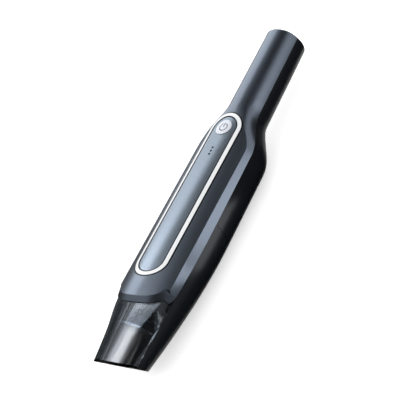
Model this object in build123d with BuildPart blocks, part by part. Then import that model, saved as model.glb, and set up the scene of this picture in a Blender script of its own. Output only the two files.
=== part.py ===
from build123d import *
import os
from math import asin, cos, hypot, pi, sin, sqrt, tan
from typing import NamedTuple

os.makedirs("parts", exist_ok=True)

# Slim cordless handheld vacuum, lying on its back: the nozzle points to -X, the handle to +X
# and the control panel faces +Z. The origin is under the middle, on the surface it rests on.
# Distances along the body are measured from the tip of the nozzle.

# Outer form
OVERALL_LENGTH = 344
HANDLE_LENGTH = 84
SHOULDER_LENGTH = 45
CUP_LENGTH = 145
TONGUE_LENGTH = 89.5
BODY_WIDTH = 62.6
HANDLE_WIDTH = 34.6
NOZZLE_WIDTH = 40
BODY_BACK = 34
HANDLE_BACK = 18.8
NOZZLE_BACK = 18.9
HANDLE_FRONT = 19.3
NOZZLE_FRONT = 20.1
PANEL_RISE = 5.9
HANDLE_TAPER = 0.8
FACE_WIDTH = 55
FACE_RADIUS = 43.8
HANDLE_FACE_WIDTH = 18
NOZZLE_FACE_WIDTH = 20
PARTING_HEIGHT = 6
REST_FLAT_WIDTH = 12
NOZZLE_CUT_DEPTH = 16.5
NOZZLE_ROUND_LENGTH = 75
TONGUE_CORNER_LENGTH = 25
LIP_SLOPE_LENGTH = 5
LIP_SLOPE_DEPTH = 1.9
BUTT_FILLET = 1.6

# Walls and clearances
SHELL_WALL = 2.2
FRONT_WALL = 2.4
CUP_WALL = 1.8
END_WALL = 2.4
SEAM = 0.2
TONGUE_GAP = 0.2
CUP_CLEARANCE = 0.3
FIT = 0.15
RUNNING_FIT = 0.05

# Control panel
RING_OUTER_WIDTH = 32.7
RING_BAND = 3.3
RING_DEPTH = 1.2
RING_PROUD = 0.1
RING_SEAT_GAP = 0.03
PANEL_END_MARGIN = 24.5
PANEL_NECK_MARGIN = 11
PANEL_SET_BACK = 0.3
INLAY_GAP = 0.7
GROOVE = 0.35
BUTTON_DIAMETER = 15.4
BUTTON_OFFSET = 0.75
BUTTON_PROUD = 0.3
BUTTON_TRAVEL = 0.5
BUTTON_FLANGE = 1
BUTTON_LIP = 1
STEM_DIAMETER = 4
STEM_LENGTH = 1.6
ICON_RADIUS = 3.7
ICON_LINE = 0.85
ICON_GAP = 3
ICON_BAR_LENGTH = 4.6
ICON_DEPTH = 0.3
LED_DIAMETER = 1.7
LED_PITCH = 3.45
LED_DISTANCE = 21.8

# Electronics
BOARD_THICKNESS = 1.6
BOARD_WIDTH = 22
BOARD_LENGTH = 44
BOARD_SCREW_LENGTH_PITCH = 20
BOARD_SCREW_SPACING = 16
BOARD_SCREW_DIAMETER = 1.8
BOARD_SCREW_HEAD = 0.6
BOARD_SCREW_HOLE = 4
SCREW_TIP_GAP = 0.6
BOARD_MARGIN = 2
POST_DIAMETER = 4.4
POST_MARGIN = 3
POST_ROOT_GAP = 0.3
SWITCH_SIDE = 6
SWITCH_BODY = 2
SWITCH_PLUNGER_DIAMETER = 3
SWITCH_PLUNGER = 0.5
SWITCH_GAP = 0.1
LED_CHIP = 2
CELL_DIAMETER = 18.4
CELL_LENGTH = 65
CELL_GAP = 1.2
CELL_DROP = 1
CELL_END_GAP = 3
CRADLE_COUNT = 4
CRADLE_MARGIN = 8
TUBE_WALL = 1.2
TAB_THICKNESS = 0.3
PORT_WIDTH = 8.9
PORT_HEIGHT = 3.2
PORT_LENGTH = 7.4
PORT_WALL = 0.4
PORT_TONGUE = 0.8

# Motor and fan
MOTOR_DROP = 6
MOTOR_DIAMETER = 36
MOTOR_LENGTH = 30
MOTOR_WALL = 1
MAGNET_THICKNESS = 2.6
MAGNET_FRONT_GAP = 3
MAGNET_REAR_GAP = 2
MAGNET_SPLIT = 14.4
AIR_GAP = 0.5
SHAFT_DIAMETER = 3
CAP_LENGTH = 5
MOTOR_SCREW_DIAMETER = 2.5
MOTOR_SCREW_HEAD = 0.6
AIR_PORTS = 10
AIR_PORT_WIDTH = 8
AIR_PORT_HEIGHT = 2
AIR_PORT_INSET = 2.6
ROTOR_SLOTS = 5
ROTOR_SLOT_DEPTH = 4.2
ROTOR_SLOT_WIDTH = 1.4
ROTOR_SLOT_INSET = 2
ROTOR_END_GAP = 1
COMMUTATOR_DIAMETER = 8
COMMUTATOR_GAP = 0.4
BUSHING_DIAMETER = 8
BUSHING_LENGTH = 4
IMPELLER_DIAMETER = 40
IMPELLER_HEIGHT = 10
BLADE_COUNT = 9
BLADE_THICKNESS = 1
BLADE_CURVE = [(0.1, 0), (0.27, 0.045), (0.455, 0.16)]
DISC_THICKNESS = 1.5
HUB_DIAMETER = 9
EYE_DIAMETER = 24
FAN_GAP = 1.2
HOUSING_WALL = 1.5
BULKHEAD = 3
GUARD_BAR = 1.6
SPIGOT_LENGTH = 6
SPIGOT_WALL = 1.4
MOTOR_RING_LENGTH = 10
MOTOR_RING_THICKNESS = 2.2
MOTOR_RING_PLACE = 18

# Dust cup
WINDOW_EDGE_TIP = 2.6
WINDOW_EDGE_LENGTH = 70
DUCT_BORE = 25
DUCT_DIAMETER = 28.4
DUCT_LENGTH = 49
PLATE_THICKNESS = 1.6
PLATE_SET_BACK = 10
FLAP_THICKNESS = 1.2
FLAP_PIN_DIAMETER = 2
FLAP_KNUCKLE = 1.2
FLAP_EAR = 2
FLAP_EAR_SPACING = 16
FLAP_EAR_ABOVE = 1.5
FLAP_EAR_BELOW = 1.9
FLAP_EAR_END = 1.8
FLAP_GAP = 0.2
FLAP_SIDE_GAP = 0.3
HINGE_GAP = 0.3
HINGE_WALL = 0.8

# Filter
FILTER_LENGTH = 66
FILTER_TIP_DIAMETER = 34
FILTER_BASE_DIAMETER = 43
FILTER_CAP = 4
FILTER_FLANGE = 3
PLEAT_COUNT = 26
PLEAT_DEPTH = 5
PLEAT_OFFSET = 1.5
CAGE_WALL = 0.8
CAGE_RIBS = 12
CAGE_RIB = 1.6
CAGE_ROWS = 3
SEAL_INSET = 0.2
SEAL_THICKNESS = 2.6
SEAL_BAND = 3

# Cup release
RELEASE_LENGTH = 14
RELEASE_HEIGHT = 9
RELEASE_DEPTH = 4.3
RELEASE_LIP = 0.9
RELEASE_GAP = 6
RELEASE_DROP = 2
RELEASE_CORNER = 2
HOOK_SET_BACK = 1.5
HOOK_THICKNESS = 1.4
HOOK_HEIGHT = 5
HOOK_BARB = 1.2
CATCH_INSET = 2.2
CATCH_DEPTH = 2.6
CATCH_ROOM = 1
SPRING_DIAMETER = 5
SPRING_WIRE = 0.6
SPRING_SEAT_GAP = 0.05
SPRING_ROOT_GAP = 0.15

# Vents and screws
VENT_COUNT = 7
VENT_WIDTH = 2
VENT_LENGTH = 8
VENT_PITCH = 4.4
VENT_INSET = 14.5
FOAM_THICKNESS = 2
FOAM_GAP = 0.1
RIB_THICKNESS = 1.6
RIB_WIDTH = 18
SCREW_DIAMETER = 2.9
SCREW_HEAD_DIAMETER = 5.4
SCREW_LENGTH = 20
SCREW_BITE = 4
SCREW_HEAD = 2
SCREW_HOLE_DEPTH = 6
BOSS_DIAMETER = 8.4
FRONT_SCREW_OFFSET = 26
REAR_SCREW_OFFSET = 62
SCREW_SPACING = 46

# How far a cutting form runs past what it cuts
OVERCUT = 1

# Places worked out from the dimensions above
AXIS_Z = BODY_BACK
PARTING_Z = AXIS_Z + PARTING_HEIGHT
MOTOR_Z = AXIS_Z - MOTOR_DROP
CELL_Z = AXIS_Z - CELL_DROP
NECK = OVERALL_LENGTH - HANDLE_LENGTH
SHOULDER = NECK - SHOULDER_LENGTH
TONGUE_TIP = CUP_LENGTH - TONGUE_LENGTH
CROWN_SLOPE = PANEL_RISE / (NECK - TONGUE_TIP)
CUP_TOP_HALF = FACE_WIDTH / 2 - FRONT_WALL + TONGUE_GAP


def at(distance):
    """X of a point at a distance from the nozzle tip."""
    return distance - OVERALL_LENGTH / 2


def mix(start, end, share):
    return start + (end - start) * share


def ease(share):
    """Smooth rise from 0 to 1."""
    share = min(max(share, 0), 1)
    return share * share * (3 - 2 * share)


class Form(NamedTuple):
    """Half of a cross-section, measured from the handle's axis."""

    crown: float
    arc: float
    face: float
    half: float
    back: float
    flat: float
    roundness: float


def crown_at(distance):
    return HANDLE_FRONT + CROWN_SLOPE * (NECK - distance)


def taper_at(distance):
    """Share of the way from the nozzle's width to the body's."""
    return sin(pi / 2 * min(max(distance, -5) / CUP_LENGTH, 1))


def shell_form(distance, inset=0.0):
    shoulder = ease((distance - SHOULDER) / SHOULDER_LENGTH)
    back_shoulder = ease((distance - SHOULDER - SHOULDER_LENGTH * 0.15) / (SHOULDER_LENGTH * 0.82))
    along_handle = max(distance - NECK, 0) / HANDLE_LENGTH
    crown = HANDLE_FRONT + CROWN_SLOPE * max(NECK - distance, 0) - HANDLE_TAPER * along_handle
    arc = mix(FACE_RADIUS, HANDLE_FRONT, ease((distance - SHOULDER) / SHOULDER_LENGTH * 2 - 1))
    half = mix(NOZZLE_WIDTH, BODY_WIDTH, taper_at(distance)) / 2
    half = mix(half, HANDLE_WIDTH / 2, shoulder) - HANDLE_TAPER * along_handle
    back = mix(NOZZLE_BACK, BODY_BACK, taper_at(distance))
    back = mix(back, HANDLE_BACK, back_shoulder) - HANDLE_TAPER * along_handle
    face = mix(FACE_WIDTH, HANDLE_FACE_WIDTH, shoulder) / 2
    flat = mix(REST_FLAT_WIDTH / 2, 1, back_shoulder)
    face *= (arc - inset) / arc
    return Form(crown - inset, arc - inset, face, half - inset, back - inset, flat, shoulder)


def cup_form(distance, inset=0.0):
    shell = shell_form(distance)
    depth = FRONT_WALL + CUP_CLEARANCE
    roundness = 1 - ease(distance / NOZZLE_ROUND_LENGTH)
    crown_end = crown_at(TONGUE_TIP) - depth
    crown = mix(NOZZLE_FRONT, crown_end, distance / TONGUE_TIP)
    if distance > TONGUE_TIP:
        crown = crown_at(distance) - depth
    arc = mix(FACE_RADIUS - depth, NOZZLE_FRONT, roundness)
    top_half = min(CUP_TOP_HALF - CUP_CLEARANCE, shell.half - FIT)
    face = mix(top_half - 0.4, NOZZLE_FACE_WIDTH / 2, roundness)
    flat = mix(1.5, REST_FLAT_WIDTH / 2, taper_at(distance))
    half = top_half - inset
    face = min(face * (arc - inset) / arc, half - 0.3)
    return Form(crown - inset, arc - inset, face, half, shell.back - inset, flat, roundness)


def face_edge(form):
    """Height, over the axis, of the edge of the front face."""
    return form.crown - form.arc + sqrt(form.arc**2 - form.face**2)


def side_points(form, level):
    """Control points from the edge of the front face down to the parting level."""
    start = Vector(form.face, face_edge(form))
    end = Vector(form.half, level)
    chord = (end - start).length
    lean = asin(form.face / form.arc)
    tuck = asin(min(level / form.back, 0.6)) * form.roundness
    round_1 = start + Vector(cos(lean), -sin(lean)) * 0.35 * chord
    round_2 = end - Vector(sin(tuck), -cos(tuck)) * 0.35 * chord
    flat_1 = start + (end - start) / 3
    flat_2 = start + (end - start) * 2 / 3
    share = form.roundness
    return [start, flat_1 + (round_1 - flat_1) * share, flat_2 + (round_2 - flat_2) * share, end]


def back_points(form, half, level):
    """Control points from the parting level round to the edge of the flat back."""
    tuck = asin(min(max(level, 0) / form.back, 0.6))
    pull = 4 / 3 * tan((pi / 2 + tuck) / 4) * form.back
    round_1 = Vector(half + pull * sin(tuck), level - pull * cos(tuck))
    round_2 = Vector(form.flat + pull * 0.97, -form.back)
    box_1 = Vector(half + 1.5, level - 0.62 * (form.back + level))
    box_2 = Vector(form.flat + 0.62 * (half - form.flat), -form.back)
    share = form.roundness
    bends = [mix(box_1, round_1, share), mix(box_2, round_2, share)]
    return [Vector(half, level), *bends, Vector(form.flat, -form.back)]


def placed(points, side=1):
    """Points of a section moved up to the axis, mirrored for the other flank."""
    return [(side * point.X, point.Y + AXIS_Z) for point in points]


def front_section(distance, form, depth=0.0):
    """Closed front half of a section, its base a depth below the parting level."""
    with BuildSketch(Plane.YZ.offset(at(distance))) as section:
        with BuildLine():
            edge = face_edge(form) + AXIS_Z
            side = side_points(form, PARTING_HEIGHT)
            ThreePointArc((-form.face, edge), (0, form.crown + AXIS_Z), (form.face, edge))
            Bezier(*placed(side))
            Bezier(*placed(side, -1))
            base = PARTING_Z - depth
            if depth:
                Line((form.half, PARTING_Z), (form.half, base))
                Line((-form.half, PARTING_Z), (-form.half, base))
            Line((form.half, base), (-form.half, base))
        make_face()
    return section.sketch


def back_section(distance, form, level, rise=0.0):
    """Closed back half of a section under a level over the axis."""
    with BuildSketch(Plane.YZ.offset(at(distance))) as section:
        with BuildLine():
            curve = back_points(form, form.half, level)
            Bezier(*placed(curve))
            Bezier(*placed(curve, -1))
            Line((form.flat, AXIS_Z - form.back), (-form.flat, AXIS_Z - form.back))
            top = AXIS_Z + level + rise
            if rise:
                Line((form.half, AXIS_Z + level), (form.half, top))
                Line((-form.half, AXIS_Z + level), (-form.half, top))
            Line((form.half, top), (-form.half, top))
        make_face()
    return section.sketch


def whole_section(distance, form):
    """Closed section of the body without a ledge."""
    with BuildSketch(Plane.YZ.offset(at(distance))) as section:
        with BuildLine():
            edge = face_edge(form) + AXIS_Z
            side = side_points(form, PARTING_HEIGHT)
            curve = back_points(form, form.half, PARTING_HEIGHT)
            ThreePointArc((-form.face, edge), (0, form.crown + AXIS_Z), (form.face, edge))
            for flank in (1, -1):
                Bezier(*placed(side, flank))
                Bezier(*placed(curve, flank))
            Line((form.flat, AXIS_Z - form.back), (-form.flat, AXIS_Z - form.back))
        make_face()
    return section.sketch


def cup_section(distance, inset=0.0):
    """Closed section of the dust cup, with the ledge that the front shell's edge rests over."""
    form = cup_form(distance, inset)
    outer_half = max(shell_form(distance).half - inset, form.half + FIT)
    level = PARTING_HEIGHT - CUP_CLEARANCE - inset
    with BuildSketch(Plane.YZ.offset(at(distance))) as section:
        with BuildLine():
            edge = face_edge(form) + AXIS_Z
            side = side_points(form, level)
            curve = back_points(form, outer_half, level)
            ThreePointArc((-form.face, edge), (0, form.crown + AXIS_Z), (form.face, edge))
            for flank in (1, -1):
                Bezier(*placed(side, flank))
                Line((flank * form.half, level + AXIS_Z), (flank * outer_half, level + AXIS_Z))
                Bezier(*placed(curve, flank))
            Line((form.flat, AXIS_Z - form.back), (-form.flat, AXIS_Z - form.back))
        make_face()
    return section.sketch


def spread(start, end, count):
    return [mix(start, end, step / (count - 1)) for step in range(count)]


def stations(start, end):
    """Evenly spaced section places, about one station pitch apart."""
    return spread(start, end, round((end - start) / STATION_PITCH) + 1)


def with_half(form, half):
    """The same section with another width at the parting level."""
    return form._replace(half=half, face=min(form.face, half - 0.4))


def crown_slab(top, bottom):
    """Slab that follows the curved front face, between two depths from it."""
    start = RING_START - 5
    length = (RING_END + 10 - start) * hypot(1, CROWN_SLOPE)
    centre = AXIS_Z + crown_at(start) - FACE_RADIUS
    with BuildPart() as slab:
        with BuildSketch(Plane.YZ.offset(at(start))):
            with BuildLine():
                ends = []
                for radius in (FACE_RADIUS + top, FACE_RADIUS - bottom):
                    reach = radius * sin(SLAB_ANGLE)
                    foot = centre + radius * cos(SLAB_ANGLE)
                    ThreePointArc((-reach, foot), (0, centre + radius), (reach, foot))
                    ends.append((reach, foot))
                Line(*ends)
                Line((-ends[0][0], ends[0][1]), (-ends[1][0], ends[1][1]))
            make_face()
        extrude(amount=length, dir=(1, 0, -CROWN_SLOPE))
    return slab.part


def cone(inset=0.0):
    """The two end circles of the filter cage, taken in by an inset."""
    circles = []
    for place, diameter in ((PLEAT_START, FILTER_TIP_DIAMETER), (FILTER_BODY_END, FILTER_BASE_DIAMETER)):
        with BuildSketch(Plane.YZ.offset(at(place))) as section:
            with Locations((0, MOTOR_Z)):
                Circle(diameter / 2 - inset)
        circles.append(section.sketch)
    return circles


def pleat_star(place, radius):
    """Zigzag outline of the pleated paper."""
    points = []
    for step in range(2 * PLEAT_COUNT):
        reach = radius - PLEAT_DEPTH * (step % 2)
        angle = pi * step / PLEAT_COUNT
        points.append((reach * cos(angle), MOTOR_Z + reach * sin(angle)))
    with BuildSketch(Plane.YZ.offset(at(place))) as section:
        with BuildLine():
            Polyline(*points, close=True)
        make_face()
    return section.sketch


# Places along the body
STATION_PITCH = 6
INNER_END = OVERALL_LENGTH - END_WALL
BACK_LEVEL = PARTING_HEIGHT - SEAM
RING_START = TONGUE_TIP + PANEL_END_MARGIN
RING_END = NECK - PANEL_NECK_MARGIN
RING_MIDDLE = (RING_START + RING_END) / 2
RING_STRAIGHT = RING_END - RING_START - RING_OUTER_WIDTH
SLAB_ANGLE = asin((RING_OUTER_WIDTH / 2 + 2) / FACE_RADIUS)
INLAY_WIDTH = RING_OUTER_WIDTH - 2 * RING_BAND - 2 * INLAY_GAP
BUTTON_PLACE = RING_END - RING_OUTER_WIDTH / 2 + BUTTON_OFFSET
BUTTON_SURFACE = AXIS_Z + crown_at(BUTTON_PLACE)
FLANGE_RADIUS = BUTTON_DIAMETER / 2 + BUTTON_LIP
FLANGE_SAG = FACE_RADIUS - sqrt(FACE_RADIUS**2 - FLANGE_RADIUS**2)
FLANGE_TOP = BUTTON_SURFACE - FRONT_WALL - FLANGE_SAG - CROWN_SLOPE * FLANGE_RADIUS - FIT
STEM_BOTTOM = FLANGE_TOP - STEM_LENGTH
BOARD_TOP = STEM_BOTTOM - BUTTON_TRAVEL - SWITCH_GAP - SWITCH_PLUNGER - SWITCH_BODY
BOARD_MIDDLE = BUTTON_PLACE - BOARD_LENGTH / 2 + SWITCH_SIDE + BOARD_MARGIN
POSTS_MIDDLE = BOARD_MIDDLE - BOARD_LENGTH / 2 + BOARD_SCREW_LENGTH_PITCH / 2 + POST_MARGIN
LED_PLACES = [BUTTON_PLACE - LED_DISTANCE - LED_PITCH * step for step in range(3)]

FILTER_END = CUP_LENGTH - SPIGOT_LENGTH - SEAL_THICKNESS
FILTER_START = FILTER_END - FILTER_LENGTH
PLEAT_START = FILTER_START + FILTER_CAP
FILTER_BODY_END = FILTER_END - FILTER_FLANGE
DUCT_Z = AXIS_Z + (NOZZLE_FRONT - NOZZLE_BACK) / 2
PLATE_END = DUCT_LENGTH - PLATE_SET_BACK
FLAP_RADIUS = DUCT_DIAMETER / 2
HINGE_Z = DUCT_Z + FLAP_RADIUS + FLAP_KNUCKLE + HINGE_GAP
FLAP_START = DUCT_LENGTH + FLAP_GAP
HINGE_PLACE = FLAP_START + (FLAP_THICKNESS + FLAP_KNUCKLE) / 2
FLAP_SPAN = FLAP_EAR_SPACING - FLAP_EAR - 2 * FLAP_SIDE_GAP

FAN_START = CUP_LENGTH + BULKHEAD
PLATE_FACE = FAN_START + 2 * FAN_GAP + IMPELLER_HEIGHT
MOTOR_START = PLATE_FACE + HOUSING_WALL
MOTOR_END = MOTOR_START + MOTOR_LENGTH
HOUSING_RADIUS = IMPELLER_DIAMETER / 2 + FAN_GAP
MAGNET_START = MOTOR_START + MOTOR_WALL + MAGNET_FRONT_GAP
MAGNET_END = MOTOR_END - CAP_LENGTH - MAGNET_REAR_GAP
MAGNET_LENGTH = MAGNET_END - MAGNET_START
ROTOR_RADIUS = MOTOR_DIAMETER / 2 - MOTOR_WALL - MAGNET_THICKNESS - AIR_GAP
RING_PLACE = MOTOR_START + MOTOR_RING_PLACE
CHARGE_BOARD_PLACE = OVERALL_LENGTH - FIT - PORT_LENGTH - BOARD_THICKNESS
CELLS_END = CHARGE_BOARD_PLACE - CELL_END_GAP
CELLS_START = CELLS_END - 2 * CELL_LENGTH - CELL_GAP
TUBE_BORE = CELL_DIAMETER / 2 + FIT
TUBE_RADIUS = TUBE_BORE + TUBE_WALL
SCREW_PLACES = [(at(CUP_LENGTH + offset), flank * SCREW_SPACING / 2)
                for offset in (FRONT_SCREW_OFFSET, REAR_SCREW_OFFSET) for flank in (1, -1)]
VENT_PLACE = MOTOR_START + MOTOR_LENGTH / 2
VENT_START = VENT_PLACE - VENT_PITCH * VENT_COUNT / 2
VENT_END = VENT_PLACE + VENT_PITCH * VENT_COUNT / 2
SCREW_SEAT = PARTING_Z + SCREW_BITE - SCREW_LENGTH
RELEASE_PLACE = CUP_LENGTH + RELEASE_GAP + RELEASE_LENGTH / 2
RELEASE_Z = MOTOR_Z - RELEASE_DROP
RELEASE_FACE = BODY_WIDTH / 2 - RELEASE_DEPTH
HOOK_START = CUP_LENGTH - SPIGOT_LENGTH + HOOK_SET_BACK
MOUTH = Plane(origin=(at(0), 0, AXIS_Z + NOZZLE_FRONT), x_dir=(0, 1, 0),
              z_dir=(NOZZLE_FRONT + NOZZLE_BACK, 0, NOZZLE_CUT_DEPTH))
WINDOW_EDGE = Plane(origin=(at(0), 0, AXIS_Z + WINDOW_EDGE_TIP), x_dir=(0, 1, 0),
                    z_dir=(WINDOW_EDGE_TIP - PARTING_HEIGHT, 0, WINDOW_EDGE_LENGTH))


# The closed outer forms that the two shells are cut from
with BuildPart() as front_form:
    loft([front_section(d, shell_form(d)) for d in stations(TONGUE_TIP - 6, OVERALL_LENGTH)])
    butt = front_form.edges().group_by(Axis.X)[-1]
    fillet(butt.filter_by(lambda edge: edge.center().Z > PARTING_Z + OVERCUT), BUTT_FILLET)

with BuildPart() as back_form:
    loft([back_section(d, shell_form(d), BACK_LEVEL) for d in stations(CUP_LENGTH, OVERALL_LENGTH)])
    split(bisect_by=Plane.XY, keep=Keep.TOP)
    butt = back_form.edges().group_by(Axis.X)[-1]
    fillet(butt.filter_by(lambda edge: edge.center().Z < PARTING_Z - OVERCUT), BUTT_FILLET)

# Front shell: one long cover from the butt of the handle to the tongue over the dust cup
with BuildPart() as front_posts:
    with BuildSketch(Plane.XY.offset(PARTING_Z)):
        with Locations(*SCREW_PLACES):
            Circle(BOSS_DIAMETER / 2)
    extrude(amount=HANDLE_FRONT)
    add(front_form.part, mode=Mode.INTERSECT)
    with BuildSketch(Plane.XY.offset(PARTING_Z)):
        with Locations(*SCREW_PLACES):
            Circle(SCREW_DIAMETER / 2 + RUNNING_FIT)
    extrude(amount=SCREW_HOLE_DEPTH, mode=Mode.SUBTRACT)

with BuildPart() as panel_pocket:
    with BuildSketch(Plane.XY.offset(AXIS_Z)):
        with Locations((at(RING_MIDDLE), 0)):
            SlotCenterToCenter(RING_STRAIGHT, RING_OUTER_WIDTH + 2 * GROOVE)
    extrude(amount=BODY_WIDTH)
    add(crown_slab(BODY_WIDTH / 2, RING_DEPTH + RING_SEAT_GAP), mode=Mode.INTERSECT)

with BuildPart() as panel_holes:
    with BuildSketch(Plane.XY.offset(PARTING_Z)):
        with Locations((at(BUTTON_PLACE), 0)):
            Circle(BUTTON_DIAMETER / 2 + FIT)
        with Locations(*[(at(place), 0) for place in LED_PLACES]):
            Circle(LED_DIAMETER / 2 + RUNNING_FIT)
    extrude(amount=BODY_WIDTH)

with BuildPart() as front_blank:
    add(front_form.part)
    with BuildSketch(Plane.XY.offset(PARTING_Z - OVERCUT)):
        with BuildLine():
            corner = shell_form(TONGUE_TIP + TONGUE_CORNER_LENGTH).half
            tip = at(TONGUE_TIP)
            back = tip + TONGUE_CORNER_LENGTH
            beyond = OVERALL_LENGTH
            for flank in (1, -1):
                Bezier((tip, 0), (tip, flank * 0.68 * corner),
                       (back - 0.68 * TONGUE_CORNER_LENGTH, flank * corner), (back, flank * corner))
                Polyline((back, flank * corner), (back, flank * BODY_WIDTH), (beyond, flank * BODY_WIDTH))
            Line((beyond, BODY_WIDTH), (beyond, -BODY_WIDTH))
        make_face()
    extrude(amount=BODY_WIDTH, mode=Mode.INTERSECT)
    tip_edges = front_blank.edges().filter_by_position(Axis.X, tip - OVERCUT, back)
    lip = tip_edges.filter_by(lambda edge: edge.center().Z > PARTING_Z + OVERCUT).sort_by(SortBy.LENGTH)[-1]
    top_face = front_blank.faces().filter_by(lambda face: face.normal_at().Z > 0.9).sort_by(SortBy.AREA)[-1]
    chamfer(lip, length=LIP_SLOPE_LENGTH, length2=LIP_SLOPE_DEPTH, reference=top_face)

with BuildPart() as front_shell:
    add(front_blank.part)
    loft([front_section(d, with_half(shell_form(d, FRONT_WALL), CUP_TOP_HALF), 1)
          for d in stations(TONGUE_TIP - 8, CUP_LENGTH)], mode=Mode.SUBTRACT)
    loft([front_section(d, shell_form(d, FRONT_WALL), 1) for d in stations(CUP_LENGTH, INNER_END)],
         mode=Mode.SUBTRACT)
    add(front_posts.part)
    with BuildSketch(Plane.XY.offset(BOARD_TOP)):
        with Locations((at(POSTS_MIDDLE), 0)):
            with GridLocations(BOARD_SCREW_LENGTH_PITCH, BOARD_SCREW_SPACING, 2, 2):
                Circle(POST_DIAMETER / 2)
    extrude(amount=AXIS_Z + crown_at(POSTS_MIDDLE) - FRONT_WALL - POST_ROOT_GAP - BOARD_TOP)
    with BuildSketch(Plane.XY.offset(BOARD_TOP)):
        with Locations((at(POSTS_MIDDLE), 0)):
            with GridLocations(BOARD_SCREW_LENGTH_PITCH, BOARD_SCREW_SPACING, 2, 2):
                Circle(BOARD_SCREW_DIAMETER / 2 + RUNNING_FIT)
    extrude(amount=BOARD_SCREW_HOLE, mode=Mode.SUBTRACT)
    add(panel_pocket.part, mode=Mode.SUBTRACT)
    add(panel_holes.part, mode=Mode.SUBTRACT)


# Back shell: the dark half behind the parting line, with ribs, screw bosses and exhaust slots
with BuildPart() as back_fittings:
    for place in (RING_PLACE - MOTOR_RING_LENGTH / 4, RING_PLACE + MOTOR_RING_LENGTH / 4):
        with BuildSketch(Plane.YZ.offset(at(place) - RIB_THICKNESS / 2)):
            with Locations((0, MOTOR_Z / 2)):
                Rectangle(RIB_WIDTH, MOTOR_Z)
            with Locations((0, MOTOR_Z)):
                Circle(MOTOR_DIAMETER / 2 + MOTOR_RING_THICKNESS + FIT, mode=Mode.SUBTRACT)
        extrude(amount=RIB_THICKNESS)
    for place in spread(CELLS_START + CRADLE_MARGIN, CELLS_END - CRADLE_MARGIN, CRADLE_COUNT):
        with BuildSketch(Plane.YZ.offset(at(place) - RIB_THICKNESS / 2)):
            with Locations((0, CELL_Z / 2)):
                Rectangle(RIB_WIDTH, CELL_Z)
            with Locations((0, CELL_Z)):
                Circle(TUBE_RADIUS + FIT, mode=Mode.SUBTRACT)
        extrude(amount=RIB_THICKNESS)
    with BuildSketch(Plane.XY):
        with Locations(*SCREW_PLACES):
            Circle(BOSS_DIAMETER / 2)
    extrude(amount=PARTING_Z - SEAM)
    add(back_form.part, mode=Mode.INTERSECT)

with BuildPart() as back_holes:
    with BuildSketch(Plane.XY):
        with Locations(*SCREW_PLACES):
            Circle(SCREW_HEAD_DIAMETER / 2 + FIT)
    extrude(amount=SCREW_SEAT)
    with BuildSketch(Plane.XY):
        with Locations(*SCREW_PLACES):
            Circle(SCREW_DIAMETER / 2 + FIT)
    extrude(amount=PARTING_Z)
    with BuildSketch(Plane.XY):
        with Locations((at(VENT_PLACE), VENT_INSET), (at(VENT_PLACE), -VENT_INSET)):
            with GridLocations(VENT_PITCH, 0, VENT_COUNT, 1):
                SlotOverall(VENT_LENGTH, VENT_WIDTH, rotation=90)
    extrude(amount=BODY_BACK / 2)
    with BuildSketch(Plane.YZ.offset(at(INNER_END - OVERCUT))):
        with Locations((0, CELL_Z)):
            SlotOverall(PORT_WIDTH + 2 * FIT, PORT_HEIGHT + 2 * FIT)
    extrude(amount=END_WALL + 2 * OVERCUT)
    with BuildSketch(Plane.XZ.offset(OVERCUT + RELEASE_LIP - RELEASE_FACE)):
        with Locations((at(RELEASE_PLACE), RELEASE_Z)):
            RectangleRounded(RELEASE_LENGTH + 2 * FIT, RELEASE_HEIGHT + 2 * FIT, RELEASE_CORNER)
    extrude(amount=-BODY_WIDTH / 2)

with BuildPart() as back_shell:
    add(back_form.part)
    loft([back_section(d, shell_form(d, SHELL_WALL), BACK_LEVEL, 1)
          for d in stations(CUP_LENGTH - 2, INNER_END)], mode=Mode.SUBTRACT)
    add(back_fittings.part)
    add(back_holes.part, mode=Mode.SUBTRACT)

# Panel: a near-white ring round a satin inlay, both following the curved front face
with BuildPart() as trim_ring:
    with BuildSketch(Plane.XY.offset(AXIS_Z)):
        with Locations((at(RING_MIDDLE), 0)):
            SlotCenterToCenter(RING_STRAIGHT, RING_OUTER_WIDTH)
            SlotCenterToCenter(RING_STRAIGHT, RING_OUTER_WIDTH - 2 * RING_BAND, mode=Mode.SUBTRACT)
    extrude(amount=BODY_WIDTH)
    add(crown_slab(RING_PROUD, RING_DEPTH), mode=Mode.INTERSECT)

with BuildPart() as panel_inlay:
    with BuildSketch(Plane.XY.offset(AXIS_Z)):
        with Locations((at(RING_MIDDLE), 0)):
            SlotCenterToCenter(RING_STRAIGHT, INLAY_WIDTH)
    extrude(amount=BODY_WIDTH)
    add(crown_slab(-PANEL_SET_BACK, RING_DEPTH), mode=Mode.INTERSECT)
    add(panel_holes.part, mode=Mode.SUBTRACT)

with BuildPart() as button_top:
    with BuildSketch(Plane.XY.offset(FLANGE_TOP - 0.1)):
        with Locations((at(BUTTON_PLACE), 0)):
            Circle(BUTTON_DIAMETER / 2)
    extrude(amount=FRONT_WALL * 3)
    add(crown_slab(BUTTON_PROUD, FRONT_WALL * 3), mode=Mode.INTERSECT)

with BuildPart() as icon_groove:
    with BuildSketch(Plane.XY.offset(AXIS_Z)):
        with Locations((at(BUTTON_PLACE), 0)):
            Circle(ICON_RADIUS + ICON_LINE / 2)
            Circle(ICON_RADIUS - ICON_LINE / 2, mode=Mode.SUBTRACT)
        with Locations((at(BUTTON_PLACE) + ICON_RADIUS, 0)):
            Rectangle(ICON_RADIUS, ICON_GAP, mode=Mode.SUBTRACT)
        with Locations((at(BUTTON_PLACE) + ICON_BAR_LENGTH / 2, 0)):
            Rectangle(ICON_BAR_LENGTH, ICON_LINE)
    extrude(amount=BODY_WIDTH)
    add(crown_slab(BUTTON_PROUD, ICON_DEPTH - BUTTON_PROUD), mode=Mode.INTERSECT)

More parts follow.
